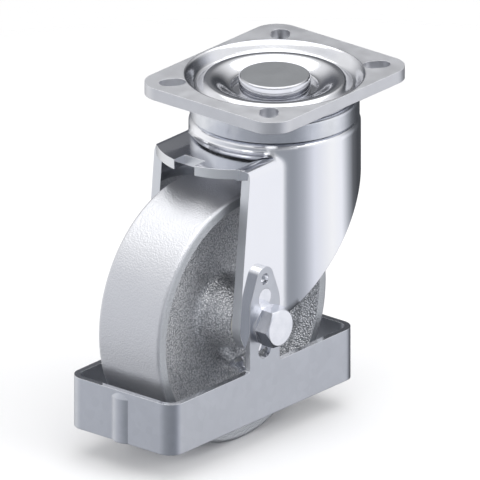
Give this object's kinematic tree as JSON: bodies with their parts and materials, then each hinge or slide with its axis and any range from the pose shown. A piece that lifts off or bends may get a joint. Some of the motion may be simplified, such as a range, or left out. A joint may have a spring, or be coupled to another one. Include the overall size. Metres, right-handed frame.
{
  "type": "swivel castor",
  "caption": "Heavy duty swivel castor with a cast iron wheel in a pressed steel fork, a slotted top plate and a foot guard round the wheel.",
  "frame": {"origin": "centre of the mounting face, which is the flat upper face of the top plate, on the swivel axis", "axes": "+Z out of the mounting face, up; the wheel trails towards -X; the axle lies along Y with the bolt's head on the -Y side"},
  "size_m": [0.1682, 0.0932, 0.168],
  "materials": {
    "plate_steel": "matt zinc plate",
    "pin_steel": "turned steel, zinc plated",
    "cup_steel": "pressed steel, zinc plated",
    "bright_zinc": "bright zinc plate",
    "galvanised_steel": "galvanised sheet",
    "bearing_steel": "hardened and ground",
    "cast_iron": "rough sand casting, turned on the tread",
    "seal_rubber": "matt moulded rubber",
    "cage_steel": "pressed and left dull",
    "washer_plastic": "moulded",
    "insert_nylon": "moulded"
  },
  "bodies": {
    "mounting": {"top_plate": "plate_steel", "king_pin": "pin_steel", "bearing_cup": "cup_steel", "head_seal": "seal_rubber", "lower_race": "bearing_steel", "king_pin_nut": "bright_zinc", "king_pin_nut_insert": "insert_nylon"},
    "upper_row": {"upper_balls": "bearing_steel"},
    "lower_row": {"lower_balls": "bearing_steel"},
    "swivel_fork": {"fork": "bright_zinc", "axle_bolt": "bright_zinc", "head_washer": "bright_zinc", "nut_washer": "bright_zinc", "axle_nut": "bright_zinc", "axle_nut_insert": "insert_nylon", "axle_tube": "bearing_steel", "thrust_washers": "washer_plastic", "foot_guard": "galvanised_steel", "locating_pegs": "bright_zinc"},
    "roller_set": {"roller_cage": "cage_steel", "rollers": "bearing_steel"},
    "road_wheel": {"wheel": "cast_iron", "grease_nipple": "bright_zinc", "hub_seals": "seal_rubber"}
  },
  "joints": [
    {"name": "swivel", "type": "hinge", "parent": "mounting", "child": "swivel_fork", "pos_m": [0, 0, 0], "axis": [0, 0, 1], "continuous": true},
    {"name": "upper_row_turn", "type": "hinge", "parent": "mounting", "child": "upper_row", "pos_m": [0, 0, 0], "axis": [0, 0, 1], "continuous": true},
    {"name": "lower_row_turn", "type": "hinge", "parent": "mounting", "child": "lower_row", "pos_m": [0, 0, 0], "axis": [0, 0, 1], "continuous": true},
    {"name": "wheel_spin", "type": "hinge", "parent": "swivel_fork", "child": "road_wheel", "pos_m": [-0.0462, 0, -0.1055], "axis": [0, 1, 0], "continuous": true},
    {"name": "roller_turn", "type": "hinge", "parent": "swivel_fork", "child": "roller_set", "pos_m": [-0.0462, 0, -0.1055], "axis": [0, 1, 0], "continuous": true}
  ],
  "couplings": [
    {"joint": "upper_row_turn", "follows": "swivel", "ratio": 0.5},
    {"joint": "lower_row_turn", "follows": "swivel", "ratio": 0.5},
    {"joint": "roller_turn", "follows": "wheel_spin", "ratio": 0.602}
  ]
}
